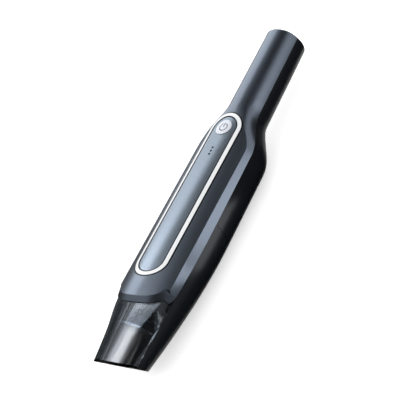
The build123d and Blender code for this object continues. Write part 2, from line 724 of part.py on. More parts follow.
with BuildPart() as power_button:
    add(button_top.part)
    with BuildSketch(Plane.XY.offset(FLANGE_TOP)):
        with Locations((at(BUTTON_PLACE), 0)):
            Circle(FLANGE_RADIUS)
    extrude(amount=-BUTTON_FLANGE)
    with BuildSketch(Plane.XY.offset(FLANGE_TOP)):
        with Locations((at(BUTTON_PLACE), 0)):
            Circle(STEM_DIAMETER / 2)
    extrude(amount=STEM_BOTTOM - FLANGE_TOP)
    add(icon_groove.part, mode=Mode.SUBTRACT)

with BuildPart() as power_icon:
    add(icon_groove.part)

with BuildPart() as led_lenses:
    with BuildSketch(Plane.XY.offset(BOARD_TOP + LED_CHIP / 2 + FIT)):
        with Locations(*[(at(place), 0) for place in LED_PLACES]):
            Circle(LED_DIAMETER / 2)
    extrude(amount=BODY_WIDTH)
    add(crown_slab(-PANEL_SET_BACK, FRONT_WALL * 6), mode=Mode.INTERSECT)

# Electronics under the panel
with BuildPart() as main_board:
    with BuildSketch(Plane.XY.offset(BOARD_TOP)):
        with Locations((at(BOARD_MIDDLE), 0)):
            RectangleRounded(BOARD_LENGTH, BOARD_WIDTH, 2)
        with Locations((at(POSTS_MIDDLE), 0)):
            with GridLocations(BOARD_SCREW_LENGTH_PITCH, BOARD_SCREW_SPACING, 2, 2):
                Circle(BOARD_SCREW_DIAMETER / 2 + FIT, mode=Mode.SUBTRACT)
    extrude(amount=-BOARD_THICKNESS)

with BuildPart() as board_screws:
    with BuildSketch(Plane.XY.offset(BOARD_TOP - BOARD_THICKNESS)):
        with Locations((at(POSTS_MIDDLE), 0)):
            with GridLocations(BOARD_SCREW_LENGTH_PITCH, BOARD_SCREW_SPACING, 2, 2):
                Circle(BOARD_SCREW_DIAMETER)
    extrude(amount=-BOARD_SCREW_HEAD)
    with BuildSketch(Plane.XY.offset(BOARD_TOP - BOARD_THICKNESS - BOARD_SCREW_HEAD)):
        with Locations((at(POSTS_MIDDLE), 0)):
            with GridLocations(BOARD_SCREW_LENGTH_PITCH, BOARD_SCREW_SPACING, 2, 2):
                Circle(BOARD_SCREW_DIAMETER / 2)
    extrude(amount=BOARD_SCREW_HEAD + BOARD_THICKNESS + BOARD_SCREW_HOLE - SCREW_TIP_GAP)

with BuildPart() as tact_switch:
    with BuildSketch(Plane.XY.offset(BOARD_TOP)):
        with Locations((at(BUTTON_PLACE), 0)):
            Rectangle(SWITCH_SIDE, SWITCH_SIDE)
    extrude(amount=SWITCH_BODY)
    with BuildSketch(Plane.XY.offset(BOARD_TOP + SWITCH_BODY)):
        with Locations((at(BUTTON_PLACE), 0)):
            Circle(SWITCH_PLUNGER_DIAMETER / 2)
    extrude(amount=SWITCH_PLUNGER)

with BuildPart() as status_leds:
    with BuildSketch(Plane.XY.offset(BOARD_TOP)):
        with Locations(*[(at(place), 0) for place in LED_PLACES]):
            Rectangle(LED_CHIP, LED_CHIP)
    extrude(amount=LED_CHIP / 2)

# Battery in the handle
with BuildPart() as battery_cells:
    with BuildSketch(Plane.YZ.offset(at(CELLS_START))):
        with Locations((0, CELL_Z)):
            Circle(CELL_DIAMETER / 2)
    extrude(amount=CELL_LENGTH)
    with BuildSketch(Plane.YZ.offset(at(CELLS_END - CELL_LENGTH))):
        with Locations((0, CELL_Z)):
            Circle(CELL_DIAMETER / 2)
    extrude(amount=CELL_LENGTH)

with BuildPart() as cell_tabs:
    for place in (CELLS_START - TAB_THICKNESS, CELLS_START + CELL_LENGTH, CELLS_END):
        with BuildSketch(Plane.YZ.offset(at(place))):
            with Locations((0, CELL_Z)):
                RectangleRounded(CELL_DIAMETER * 0.6, CELL_DIAMETER * 0.35, 1)
        extrude(amount=CELL_GAP if place == CELLS_START + CELL_LENGTH else TAB_THICKNESS)

with BuildPart() as battery_tube:
    with BuildSketch(Plane.YZ.offset(at(CELLS_START))):
        with Locations((0, CELL_Z)):
            Circle(TUBE_RADIUS)
            Circle(TUBE_BORE, mode=Mode.SUBTRACT)
    extrude(amount=CELLS_END - CELLS_START)

with BuildPart() as charge_board:
    outline = shell_form(CHARGE_BOARD_PLACE + BOARD_THICKNESS, SHELL_WALL + FIT)
    extrude(back_section(CHARGE_BOARD_PLACE, outline, CELL_DROP + PORT_HEIGHT), amount=BOARD_THICKNESS)

with BuildPart() as charge_port:
    with BuildSketch(Plane.YZ.offset(at(OVERALL_LENGTH - FIT - PORT_LENGTH))):
        with Locations((0, CELL_Z)):
            SlotOverall(PORT_WIDTH, PORT_HEIGHT)
    extrude(amount=PORT_LENGTH)
    with BuildSketch(Plane.YZ.offset(at(OVERALL_LENGTH - FIT))):
        with Locations((0, CELL_Z)):
            SlotOverall(PORT_WIDTH - 2 * PORT_WALL, PORT_HEIGHT - 2 * PORT_WALL)
    extrude(amount=1 - PORT_LENGTH, mode=Mode.SUBTRACT)
    with BuildSketch(Plane.YZ.offset(at(OVERALL_LENGTH - FIT - PORT_LENGTH))):
        with Locations((0, CELL_Z)):
            Rectangle(PORT_WIDTH - 6 * PORT_WALL, PORT_TONGUE)
    extrude(amount=PORT_LENGTH - 1)

# Motor, fan and their mounts, all on the motor's axis
with BuildPart() as motor_mount:
    extrude(whole_section(CUP_LENGTH, shell_form(CUP_LENGTH, FRONT_WALL + FIT)), amount=BULKHEAD)
    extrude(cup_section(CUP_LENGTH - SPIGOT_LENGTH, CUP_WALL + CUP_CLEARANCE), amount=SPIGOT_LENGTH)
    extrude(cup_section(CUP_LENGTH - SPIGOT_LENGTH, CUP_WALL + CUP_CLEARANCE + SPIGOT_WALL),
            amount=SPIGOT_LENGTH, mode=Mode.SUBTRACT)
    with BuildSketch(Plane.YZ.offset(at(CUP_LENGTH))):
        with Locations((0, MOTOR_Z)):
            Circle(EYE_DIAMETER / 2)
            with PolarLocations(0, 3):
                Rectangle(EYE_DIAMETER + 1, GUARD_BAR, mode=Mode.SUBTRACT)
    extrude(amount=BULKHEAD, mode=Mode.SUBTRACT)
    with BuildSketch(Plane.YZ.offset(at(FAN_START))):
        with Locations((0, MOTOR_Z)):
            Circle(HOUSING_RADIUS + HOUSING_WALL)
            Circle(HOUSING_RADIUS, mode=Mode.SUBTRACT)
    extrude(amount=MOTOR_START - FAN_START)
    with BuildSketch(Plane.YZ.offset(at(CUP_LENGTH - SPIGOT_LENGTH - 1))):
        with Locations((RELEASE_FACE, RELEASE_Z)):
            Rectangle(2 * (HOOK_THICKNESS + HOOK_BARB + 2.5), HOOK_HEIGHT + 2)
    extrude(amount=SPIGOT_LENGTH + BULKHEAD + 2, mode=Mode.SUBTRACT)

with BuildPart() as motor_plate:
    with BuildSketch(Plane.YZ.offset(at(PLATE_FACE))):
        with Locations((0, MOTOR_Z)):
            Circle(HOUSING_RADIUS - FIT)
            Circle(BUSHING_DIAMETER / 2 + FIT, mode=Mode.SUBTRACT)
            with PolarLocations(MOTOR_DIAMETER / 4, 2):
                Circle(MOTOR_SCREW_DIAMETER / 2 + FIT, mode=Mode.SUBTRACT)
            with PolarLocations(HOUSING_RADIUS - AIR_PORT_INSET, AIR_PORTS):
                Rectangle(AIR_PORT_HEIGHT, AIR_PORT_WIDTH, mode=Mode.SUBTRACT)
    extrude(amount=HOUSING_WALL)

with BuildPart() as motor_screws:
    with BuildSketch(Plane.YZ.offset(at(PLATE_FACE) - MOTOR_SCREW_HEAD)):
        with Locations((0, MOTOR_Z)):
            with PolarLocations(MOTOR_DIAMETER / 4, 2):
                Circle(MOTOR_SCREW_DIAMETER)
    extrude(amount=MOTOR_SCREW_HEAD)
    with BuildSketch(Plane.YZ.offset(at(PLATE_FACE))):
        with Locations((0, MOTOR_Z)):
            with PolarLocations(MOTOR_DIAMETER / 4, 2):
                Circle(MOTOR_SCREW_DIAMETER / 2)
    extrude(amount=HOUSING_WALL + MOTOR_WALL)

with BuildPart() as motor_can:
    with BuildSketch(Plane.YZ.offset(at(MOTOR_START))):
        with Locations((0, MOTOR_Z)):
            Circle(MOTOR_DIAMETER / 2)
    extrude(amount=MOTOR_LENGTH - CAP_LENGTH)
    with BuildSketch(Plane.YZ.offset(at(MOTOR_START + MOTOR_WALL))):
        with Locations((0, MOTOR_Z)):
            Circle(MOTOR_DIAMETER / 2 - MOTOR_WALL)
    extrude(amount=MOTOR_LENGTH, mode=Mode.SUBTRACT)
    with BuildSketch(Plane.YZ.offset(at(MOTOR_START))):
        with Locations((0, MOTOR_Z)):
            Circle(BUSHING_DIAMETER / 2 + RUNNING_FIT)
            with PolarLocations(MOTOR_DIAMETER / 4, 2):
                Circle(MOTOR_SCREW_DIAMETER / 2 + RUNNING_FIT)
    extrude(amount=MOTOR_WALL, mode=Mode.SUBTRACT)

with BuildPart() as motor_cap:
    with BuildSketch(Plane.YZ.offset(at(MOTOR_END - CAP_LENGTH))):
        with Locations((0, MOTOR_Z)):
            Circle(MOTOR_DIAMETER / 2)
    extrude(amount=CAP_LENGTH)
    with BuildSketch(Plane.YZ.offset(at(MOTOR_END - CAP_LENGTH))):
        with Locations((0, MOTOR_Z)):
            Circle(MOTOR_DIAMETER / 2 - 2 * MOTOR_WALL)
    extrude(amount=CAP_LENGTH - 2 * MOTOR_WALL, mode=Mode.SUBTRACT)
    with BuildSketch(Plane.YZ.offset(at(MOTOR_END))):
        with Locations((0, MOTOR_Z)):
            Circle(BUSHING_DIAMETER / 2 + RUNNING_FIT)
    extrude(amount=-CAP_LENGTH, mode=Mode.SUBTRACT)

with BuildPart() as motor_bushings:
    for place in (PLATE_FACE, MOTOR_END - BUSHING_LENGTH):
        with BuildSketch(Plane.YZ.offset(at(place))):
            with Locations((0, MOTOR_Z)):
                Circle(BUSHING_DIAMETER / 2)
                Circle(SHAFT_DIAMETER / 2 + RUNNING_FIT, mode=Mode.SUBTRACT)
        extrude(amount=BUSHING_LENGTH)

with BuildPart() as motor_magnets:
    with BuildSketch(Plane.YZ.offset(at(MAGNET_START))):
        with Locations((0, MOTOR_Z)):
            Circle(MOTOR_DIAMETER / 2 - MOTOR_WALL - RUNNING_FIT)
            Circle(MOTOR_DIAMETER / 2 - MOTOR_WALL - RUNNING_FIT - MAGNET_THICKNESS, mode=Mode.SUBTRACT)
            Rectangle(MAGNET_SPLIT, MOTOR_DIAMETER, mode=Mode.SUBTRACT)
    extrude(amount=MAGNET_LENGTH)

with BuildPart() as motor_ring:
    with BuildSketch(Plane.YZ.offset(at(RING_PLACE - MOTOR_RING_LENGTH / 2))):
        with Locations((0, MOTOR_Z)):
            Circle(MOTOR_DIAMETER / 2 + MOTOR_RING_THICKNESS)
            Circle(MOTOR_DIAMETER / 2 + RUNNING_FIT, mode=Mode.SUBTRACT)
    extrude(amount=MOTOR_RING_LENGTH)

with BuildPart() as motor_shaft:
    with BuildSketch(Plane.YZ.offset(at(FAN_START + FAN_GAP / 2))):
        with Locations((0, MOTOR_Z)):
            Circle(SHAFT_DIAMETER / 2)
    extrude(amount=MOTOR_END - FAN_START)

with BuildPart() as rotor_core:
    with BuildSketch(Plane.YZ.offset(at(MAGNET_START + ROTOR_END_GAP))):
        with Locations((0, MOTOR_Z)):
            Circle(ROTOR_RADIUS)
            Circle(SHAFT_DIAMETER / 2, mode=Mode.SUBTRACT)
            with PolarLocations(ROTOR_RADIUS - ROTOR_SLOT_INSET, ROTOR_SLOTS):
                Rectangle(ROTOR_SLOT_DEPTH, ROTOR_SLOT_WIDTH, mode=Mode.SUBTRACT)
    extrude(amount=MAGNET_LENGTH - 2 * ROTOR_END_GAP)

with BuildPart() as commutator:
    with BuildSketch(Plane.YZ.offset(at(MAGNET_END))):
        with Locations((0, MOTOR_Z)):
            Circle(COMMUTATOR_DIAMETER / 2)
            Circle(SHAFT_DIAMETER / 2, mode=Mode.SUBTRACT)
    extrude(amount=MOTOR_END - BUSHING_LENGTH - COMMUTATOR_GAP - MAGNET_END)

with BuildPart() as impeller:
    with BuildSketch(Plane.YZ.offset(at(PLATE_FACE - FAN_GAP))):
        with Locations((0, MOTOR_Z)):
            Circle(IMPELLER_DIAMETER / 2)
    extrude(amount=-DISC_THICKNESS)
    with BuildSketch(Plane.YZ.offset(at(PLATE_FACE - FAN_GAP))):
        with Locations((0, MOTOR_Z)):
            Circle(HUB_DIAMETER / 2)
    extrude(amount=-IMPELLER_HEIGHT)
    for step in range(BLADE_COUNT):
        turn = Rot(0, 0, 360 / BLADE_COUNT * step)
        with BuildSketch(Plane.YZ.offset(at(PLATE_FACE - FAN_GAP)) * Pos(0, MOTOR_Z) * turn):
            with BuildLine():
                ThreePointArc(*[(IMPELLER_DIAMETER * along, IMPELLER_DIAMETER * across)
                                for along, across in BLADE_CURVE])
            trace(line_width=BLADE_THICKNESS)
        extrude(amount=-IMPELLER_HEIGHT)
    with BuildSketch(Plane.YZ.offset(at(PLATE_FACE - FAN_GAP))):
        with Locations((0, MOTOR_Z)):
            Circle(SHAFT_DIAMETER / 2)
    extrude(amount=-IMPELLER_HEIGHT, mode=Mode.SUBTRACT)

# Exhaust foam pads behind the slots
with BuildPart() as exhaust_foam:
    foam_places = stations(VENT_START, VENT_END)
    foam_inset = SHELL_WALL + FOAM_GAP
    loft([back_section(d, shell_form(d, foam_inset), BACK_LEVEL) for d in foam_places])
    loft([back_section(d, shell_form(d, foam_inset + FOAM_THICKNESS), BACK_LEVEL, 1) for d in foam_places],
         mode=Mode.SUBTRACT)
    with BuildSketch(Plane.XY):
        with Locations((at(VENT_PLACE), VENT_INSET), (at(VENT_PLACE), -VENT_INSET)):
            Rectangle(VENT_END - VENT_START, VENT_LENGTH)
    extrude(amount=BODY_BACK / 2, mode=Mode.INTERSECT)

# Case screws, driven from the back through the screw bosses
with BuildPart() as case_screws:
    with BuildSketch(Plane.XY.offset(SCREW_SEAT)):
        with Locations(*SCREW_PLACES):
            Circle(SCREW_HEAD_DIAMETER / 2)
    extrude(amount=-SCREW_HEAD)
    with BuildSketch(Plane.XY.offset(SCREW_SEAT - SCREW_HEAD)):
        with Locations(*SCREW_PLACES):
            RegularPolygon(SCREW_DIAMETER / 2, 6)
    extrude(amount=SCREW_HEAD / 2, mode=Mode.SUBTRACT)
    with BuildSketch(Plane.XY.offset(SCREW_SEAT)):
        with Locations(*SCREW_PLACES):
            Circle(SCREW_DIAMETER / 2)
    extrude(amount=SCREW_LENGTH)

# Dust cup: a smoked clear window and a dark back in one moulding, open behind,
# with the inlet duct through its slanted mouth
with BuildPart() as cup_hollow:
    loft([cup_section(d, CUP_WALL) for d in stations(-CUP_WALL, CUP_LENGTH)])
    split(bisect_by=MOUTH.offset(CUP_WALL), keep=Keep.TOP)

with BuildPart() as whole_cup:
    loft([cup_section(d) for d in stations(-CUP_WALL, CUP_LENGTH - CUP_CLEARANCE)])
    split(bisect_by=MOUTH, keep=Keep.TOP)
    add(cup_hollow.part, mode=Mode.SUBTRACT)
    with BuildSketch(Plane.YZ.offset(at(-5))):
        with Locations((0, DUCT_Z)):
            Circle(DUCT_DIAMETER / 2 + FIT)
    extrude(amount=NOZZLE_CUT_DEPTH + 10, mode=Mode.SUBTRACT)
    with BuildSketch(Plane.YZ.offset(at(HOOK_START - CATCH_ROOM))):
        with Locations((BODY_WIDTH / 2 - CATCH_INSET, RELEASE_Z)):
            Rectangle(CATCH_DEPTH, HOOK_HEIGHT + CATCH_ROOM)
    extrude(amount=HOOK_BARB + 3 * CATCH_ROOM, mode=Mode.SUBTRACT)

with BuildPart() as dust_cup:
    add(whole_cup.part)
    split(bisect_by=WINDOW_EDGE, keep=Keep.TOP)

with BuildPart() as cup_back:
    add(whole_cup.part)
    split(bisect_by=WINDOW_EDGE, keep=Keep.BOTTOM)

with BuildPart() as inlet_duct:
    with BuildSketch(Plane.YZ.offset(at(0))):
        with Locations((0, DUCT_Z)):
            Circle(DUCT_DIAMETER / 2)
            Circle(DUCT_BORE / 2, mode=Mode.SUBTRACT)
    extrude(amount=DUCT_LENGTH)
    split(bisect_by=MOUTH, keep=Keep.TOP)

with BuildPart() as duct_plate:
    extrude(cup_section(PLATE_END - PLATE_THICKNESS, CUP_WALL + FIT), amount=PLATE_THICKNESS)
    with BuildSketch(Plane.YZ.offset(at(PLATE_END))):
        with Locations((0, HINGE_Z + (FLAP_EAR_ABOVE - FLAP_EAR_BELOW) / 2)):
            with GridLocations(FLAP_EAR_SPACING, 0, 2, 1):
                Rectangle(FLAP_EAR, FLAP_EAR_ABOVE + FLAP_EAR_BELOW)
    extrude(amount=HINGE_PLACE + FLAP_EAR_END - PLATE_END)
    with BuildSketch(Plane.YZ.offset(at(PLATE_END - PLATE_THICKNESS))):
        with Locations((0, DUCT_Z)):
            Circle(DUCT_DIAMETER / 2 + RUNNING_FIT)
    extrude(amount=DUCT_LENGTH, mode=Mode.SUBTRACT)
    with BuildSketch(Plane.XZ.offset(-FLAP_EAR_SPACING)):
        with Locations((at(HINGE_PLACE), HINGE_Z)):
            Circle(FLAP_PIN_DIAMETER / 2 + RUNNING_FIT)
    extrude(amount=2 * FLAP_EAR_SPACING, mode=Mode.SUBTRACT)

with BuildPart() as flap_pin:
    with BuildSketch(Plane.XZ.offset(-FLAP_EAR_SPACING / 2 - FLAP_EAR / 2)):
        with Locations((at(HINGE_PLACE), HINGE_Z)):
            Circle(FLAP_PIN_DIAMETER / 2)
    extrude(amount=FLAP_EAR_SPACING + FLAP_EAR)

with BuildPart() as flap_valve:
    with BuildSketch(Plane.YZ.offset(at(FLAP_START))):
        with Locations((0, DUCT_Z)):
            Circle(FLAP_RADIUS)
        with Locations((0, HINGE_Z - FLAP_KNUCKLE)):
            Rectangle(FLAP_SPAN, 2 * FLAP_KNUCKLE)
    extrude(amount=FLAP_THICKNESS)
    with BuildSketch(Plane.XZ.offset(-FLAP_SPAN / 2)):
        with Locations((at(HINGE_PLACE), HINGE_Z)):
            Circle(FLAP_PIN_DIAMETER / 2 + HINGE_WALL)
    extrude(amount=FLAP_SPAN)
    with BuildSketch(Plane.XZ.offset(-FLAP_EAR_SPACING)):
        with Locations((at(HINGE_PLACE), HINGE_Z)):
            Circle(FLAP_PIN_DIAMETER / 2 + RUNNING_FIT)
    extrude(amount=2 * FLAP_EAR_SPACING, mode=Mode.SUBTRACT)

# Filter cartridge: a tapered pleated cone in a cage, with a flange that seats in the cup
with BuildPart() as filter_pleats:
    for inset, mode in ((FIT, Mode.ADD), (FIT + PLEAT_OFFSET, Mode.SUBTRACT)):
        tip = pleat_star(PLEAT_START, FILTER_TIP_DIAMETER / 2 - CAGE_WALL - inset)
        base = pleat_star(FILTER_BODY_END, FILTER_BASE_DIAMETER / 2 - CAGE_WALL - inset)
        loft([tip, base], ruled=True, mode=mode)

with BuildPart() as filter_cap:
    with BuildSketch(Plane.YZ.offset(at(PLEAT_START))):
        with Locations((0, MOTOR_Z)):
            Circle(FILTER_TIP_DIAMETER / 2)
    extrude(amount=-FILTER_CAP)
    fillet(filter_cap.edges().group_by(Axis.X)[0], FILTER_CAP * 0.6)

with BuildPart() as filter_cage:
    loft(cone(), ruled=True)
    loft(cone(CAGE_WALL), ruled=True, mode=Mode.SUBTRACT)
    row_length = (FILTER_BODY_END - PLEAT_START) / CAGE_ROWS
    for row in range(CAGE_ROWS):
        diameter = mix(FILTER_TIP_DIAMETER, FILTER_BASE_DIAMETER, row / CAGE_ROWS)
        window = Box(row_length - CAGE_RIB, pi * diameter / CAGE_RIBS - CAGE_RIB, FILTER_BASE_DIAMETER,
                     mode=Mode.PRIVATE)
        centre = Pos(at(PLEAT_START) + (row + 0.5) * row_length, 0, MOTOR_Z)
        for turn in range(CAGE_RIBS):
            spin = Rot(360 / CAGE_RIBS * turn, 0, 0)
            add(centre * spin * Pos(0, 0, FILTER_BASE_DIAMETER / 2) * window, mode=Mode.SUBTRACT)

with BuildPart() as filter_frame:
    extrude(cup_section(FILTER_BODY_END, CUP_WALL + CUP_CLEARANCE), amount=FILTER_FLANGE)
    with BuildSketch(Plane.YZ.offset(at(FILTER_BODY_END))):
        with Locations((0, MOTOR_Z)):
            Circle(FILTER_BASE_DIAMETER / 2 - CAGE_WALL - PLEAT_DEPTH - 1)
    extrude(amount=FILTER_FLANGE, mode=Mode.SUBTRACT)

with BuildPart() as filter_seal:
    seal_inset = CUP_WALL + CUP_CLEARANCE + SEAL_INSET
    extrude(cup_section(FILTER_END, seal_inset), amount=SEAL_THICKNESS - FIT)
    extrude(cup_section(FILTER_END, seal_inset + SEAL_BAND), amount=SEAL_THICKNESS, mode=Mode.SUBTRACT)

# Cup release: a side button whose arm reaches through the mount to the cup's catch
with BuildPart() as release_button:
    loft([back_section(d, shell_form(d, 0.3), BACK_LEVEL)
          for d in stations(RELEASE_PLACE - RELEASE_LENGTH, RELEASE_PLACE + RELEASE_LENGTH)])
    with BuildSketch(Plane.XZ.offset(-RELEASE_FACE)):
        with Locations((at(RELEASE_PLACE), RELEASE_Z)):
            RectangleRounded(RELEASE_LENGTH, RELEASE_HEIGHT, RELEASE_CORNER)
    extrude(amount=-BODY_WIDTH, mode=Mode.INTERSECT)
    with BuildSketch(Plane.XZ.offset(-RELEASE_FACE)):
        with Locations((at(RELEASE_PLACE), RELEASE_Z)):
            Rectangle(RELEASE_LENGTH + 2 * RELEASE_LIP, RELEASE_HEIGHT + 2 * RELEASE_LIP)
    extrude(amount=RELEASE_LIP)
    with BuildSketch(Plane.XZ.offset(-RELEASE_FACE + RELEASE_LIP)):
        with Locations((at((RELEASE_PLACE + HOOK_START) / 2), RELEASE_Z)):
            Rectangle(RELEASE_PLACE - HOOK_START, HOOK_HEIGHT)
    extrude(amount=-HOOK_THICKNESS)
    with BuildSketch(Plane.XZ.offset(-RELEASE_FACE)):
        with Locations((at(HOOK_START + HOOK_BARB / 2), RELEASE_Z)):
            Rectangle(HOOK_BARB, HOOK_HEIGHT)
    extrude(amount=-(HOOK_BARB + 0.5))

with BuildPart() as release_spring:
    with BuildSketch(Plane.XZ.offset(-RELEASE_FACE + RELEASE_LIP + SPRING_SEAT_GAP)):
        with Locations((at(RELEASE_PLACE), MOTOR_Z)):
            Circle(SPRING_DIAMETER / 2)
            Circle(SPRING_DIAMETER / 2 - SPRING_WIRE, mode=Mode.SUBTRACT)
    spring_room = RELEASE_FACE - RELEASE_LIP - HOUSING_RADIUS - HOUSING_WALL
    extrude(amount=spring_room - SPRING_SEAT_GAP - SPRING_ROOT_GAP)

# Each piece under its own name
PIECES = {
    "front_shell": front_shell,
    "back_shell": back_shell,
    "trim_ring": trim_ring,
    "panel_inlay": panel_inlay,
    "power_button": power_button,
    "power_icon": power_icon,
    "led_lenses": led_lenses,
    "main_board": main_board,
    "board_screws": board_screws,
    "tact_switch": tact_switch,
    "status_leds": status_leds,
    "battery_cells": battery_cells,
    "cell_tabs": cell_tabs,
    "battery_tube": battery_tube,
    "charge_board": charge_board,
    "charge_port": charge_port,
    "motor_mount": motor_mount,
    "motor_plate": motor_plate,
    "motor_screws": motor_screws,
    "motor_can": motor_can,
    "motor_cap": motor_cap,
    "motor_bushings": motor_bushings,
    "motor_magnets": motor_magnets,
    "motor_ring": motor_ring,
    "motor_shaft": motor_shaft,
    "rotor_core": rotor_core,
    "commutator": commutator,
    "impeller": impeller,
    "exhaust_foam": exhaust_foam,
    "case_screws": case_screws,
    "dust_cup": dust_cup,
    "cup_back": cup_back,
    "inlet_duct": inlet_duct,
    "duct_plate": duct_plate,
    "flap_pin": flap_pin,
    "flap_valve": flap_valve,
    "filter_pleats": filter_pleats,
    "filter_cap": filter_cap,
    "filter_cage": filter_cage,
    "filter_frame": filter_frame,
    "filter_seal": filter_seal,
    "release_button": release_button,
    "release_spring": release_spring,
}
for name, piece in PIECES.items():
    piece.part.label = name
    export_step(piece.part, f"parts/{name}.step")
    print(name, round(piece.part.volume), piece.part.is_valid)
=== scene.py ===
import math
import bmesh
import bpy
from mathutils import Matrix, Vector


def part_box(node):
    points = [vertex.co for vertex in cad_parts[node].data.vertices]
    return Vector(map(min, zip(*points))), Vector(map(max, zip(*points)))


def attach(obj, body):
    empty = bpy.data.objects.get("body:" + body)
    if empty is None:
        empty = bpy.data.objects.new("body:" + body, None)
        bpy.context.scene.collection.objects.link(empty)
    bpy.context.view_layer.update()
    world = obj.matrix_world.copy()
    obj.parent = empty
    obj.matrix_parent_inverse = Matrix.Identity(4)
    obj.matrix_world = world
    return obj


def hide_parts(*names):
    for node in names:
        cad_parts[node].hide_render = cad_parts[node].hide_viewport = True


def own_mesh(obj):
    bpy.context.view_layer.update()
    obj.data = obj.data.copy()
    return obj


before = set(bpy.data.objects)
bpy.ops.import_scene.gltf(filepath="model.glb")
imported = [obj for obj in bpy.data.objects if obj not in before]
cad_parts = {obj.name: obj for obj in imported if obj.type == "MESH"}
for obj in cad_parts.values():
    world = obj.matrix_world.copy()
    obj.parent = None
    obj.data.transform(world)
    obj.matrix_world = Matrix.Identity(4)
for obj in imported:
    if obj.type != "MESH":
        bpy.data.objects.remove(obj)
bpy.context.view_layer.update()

# View of the photograph: the vacuum turned on its long axis, its nozzle towards the camera
AXIS_HEIGHT = 0.034
SIDE_TURN = math.radians(46)
NOSE_TURN = math.radians(24)
LEAN = math.radians(27.23)
CAMERA_DISTANCE = 1.3
PIXEL_SIZE = 0.0008403
MIDDLE_PIXEL = (205.3, 199.6)
PHOTO_SIDE = 400
SENSOR = 36.0

# Directions of that view in the vacuum's frame
TO_CAMERA = Vector((-math.sin(NOSE_TURN), -math.cos(NOSE_TURN) * math.sin(SIDE_TURN),
                    math.cos(NOSE_TURN) * math.cos(SIDE_TURN)))
ACROSS = Vector((0, -math.cos(SIDE_TURN), -math.sin(SIDE_TURN)))
ALONG = Vector((math.cos(NOSE_TURN), -math.sin(NOSE_TURN) * math.sin(SIDE_TURN),
                math.sin(NOSE_TURN) * math.cos(SIDE_TURN)))


def add_camera():
    """Camera at the photograph's angle, leaning so that the handle points up and to the right."""
    data = bpy.data.cameras.new("photo_camera")
    camera = bpy.data.objects.new("photo_camera", data)
    bpy.context.scene.collection.objects.link(camera)
    right = ACROSS * math.cos(LEAN) + ALONG * math.sin(LEAN)
    up = ALONG * math.cos(LEAN) - ACROSS * math.sin(LEAN)
    place = Vector((0, 0, AXIS_HEIGHT)) + TO_CAMERA * CAMERA_DISTANCE
    turn = Matrix((right, up, TO_CAMERA)).transposed()
    camera.matrix_world = Matrix.LocRotScale(place, turn.to_quaternion(), None)
    data.sensor_width = SENSOR
    data.lens = CAMERA_DISTANCE / PIXEL_SIZE * SENSOR / PHOTO_SIDE
    data.shift_x = (PHOTO_SIDE / 2 - MIDDLE_PIXEL[0]) / PHOTO_SIDE
    data.shift_y = (MIDDLE_PIXEL[1] - PHOTO_SIDE / 2) / PHOTO_SIDE
    data.dof.use_dof = False
    bpy.context.scene.camera = camera


# Shader nodes
def new_material(name):
    """A material with its Principled shader, and its node tree."""
    material = bpy.data.materials.new(name)
    material.use_nodes = True
    tree = material.node_tree
    return material, tree, tree.nodes["Principled BSDF"]


def feed(tree, socket, value):
    """Gives a socket a plain value or another node's output."""
    if isinstance(value, bpy.types.NodeSocket):
        tree.links.new(value, socket)
    else:
        socket.default_value = value


def node(tree, kind, **inputs):
    """A node with its named inputs fed."""
    made = tree.nodes.new(kind)
    for name, value in inputs.items():
        feed(tree, made.inputs[name.replace("_", " ")], value)
    return made


def math_node(tree, operation, *inputs):
    """The result of a math step."""
    step = tree.nodes.new("ShaderNodeMath")
    step.operation = operation
    for place, value in enumerate(inputs):
        feed(tree, step.inputs[place], value)
    return step.outputs["Value"]


def group_tree(name, inputs, outputs):
    """An empty node group, with the outputs of its input node and the inputs of its output node."""
    tree = bpy.data.node_groups.new(name, "ShaderNodeTree")
    kinds = {"Color": "NodeSocketColor", "Normal": "NodeSocketVector"}
    for label, default in inputs.items():
        kind = kinds.get(label, "NodeSocketFloat")
        socket = tree.interface.new_socket(label, in_out="INPUT", socket_type=kind)
        socket.default_value = default
    for label in outputs:
        kind = kinds.get(label, "NodeSocketFloat")
        tree.interface.new_socket(label, in_out="OUTPUT", socket_type=kind)
    given, made = tree.nodes.new("NodeGroupInput"), tree.nodes.new("NodeGroupOutput")
    return tree, given.outputs, made.inputs


def mottled(tree, amount, color, pattern, low, high):
    """The colour multiplied by a pattern that is spread between two levels."""
    level = node(tree, "ShaderNodeMapRange", Value=pattern, To_Min=low, To_Max=high)
    tint = node(tree, "ShaderNodeMixRGB", Fac=amount, Color1=color, Color2=level.outputs["Result"])
    tint.blend_type = "MULTIPLY"
    return tint.outputs["Color"]


def make_flake_group():
    """Fine metallic flake under paint: a speckled colour, its roughness and its relief."""
    inputs = {"Color": (0.2, 0.2, 0.2, 1), "Roughness": 0.3, "Flake": 0.2, "Scale": 3000.0}
    tree, given, made = group_tree("paint_flake", inputs, ["Color", "Roughness", "Normal"])
    place = tree.nodes.new("ShaderNodeTexCoord").outputs["Object"]
    flake = node(tree, "ShaderNodeTexVoronoi", Vector=place, Scale=given["Scale"], Randomness=1.0)
    cloud = node(tree, "ShaderNodeTexNoise", Vector=place, Scale=14.0, Detail=3.0)
    relief = node(tree, "ShaderNodeBump", Strength=0.04, Distance=0.00005,
                  Height=flake.outputs["Distance"])
    feed(tree, made["Color"], mottled(tree, given["Flake"], given["Color"],
                                      flake.outputs["Color"], 0.6, 1.4))
    feed(tree, made["Roughness"], math_node(tree, "MULTIPLY_ADD", cloud.outputs["Fac"], 0.06,
                                            given["Roughness"]))
    feed(tree, made["Normal"], relief.outputs["Normal"])
    return tree


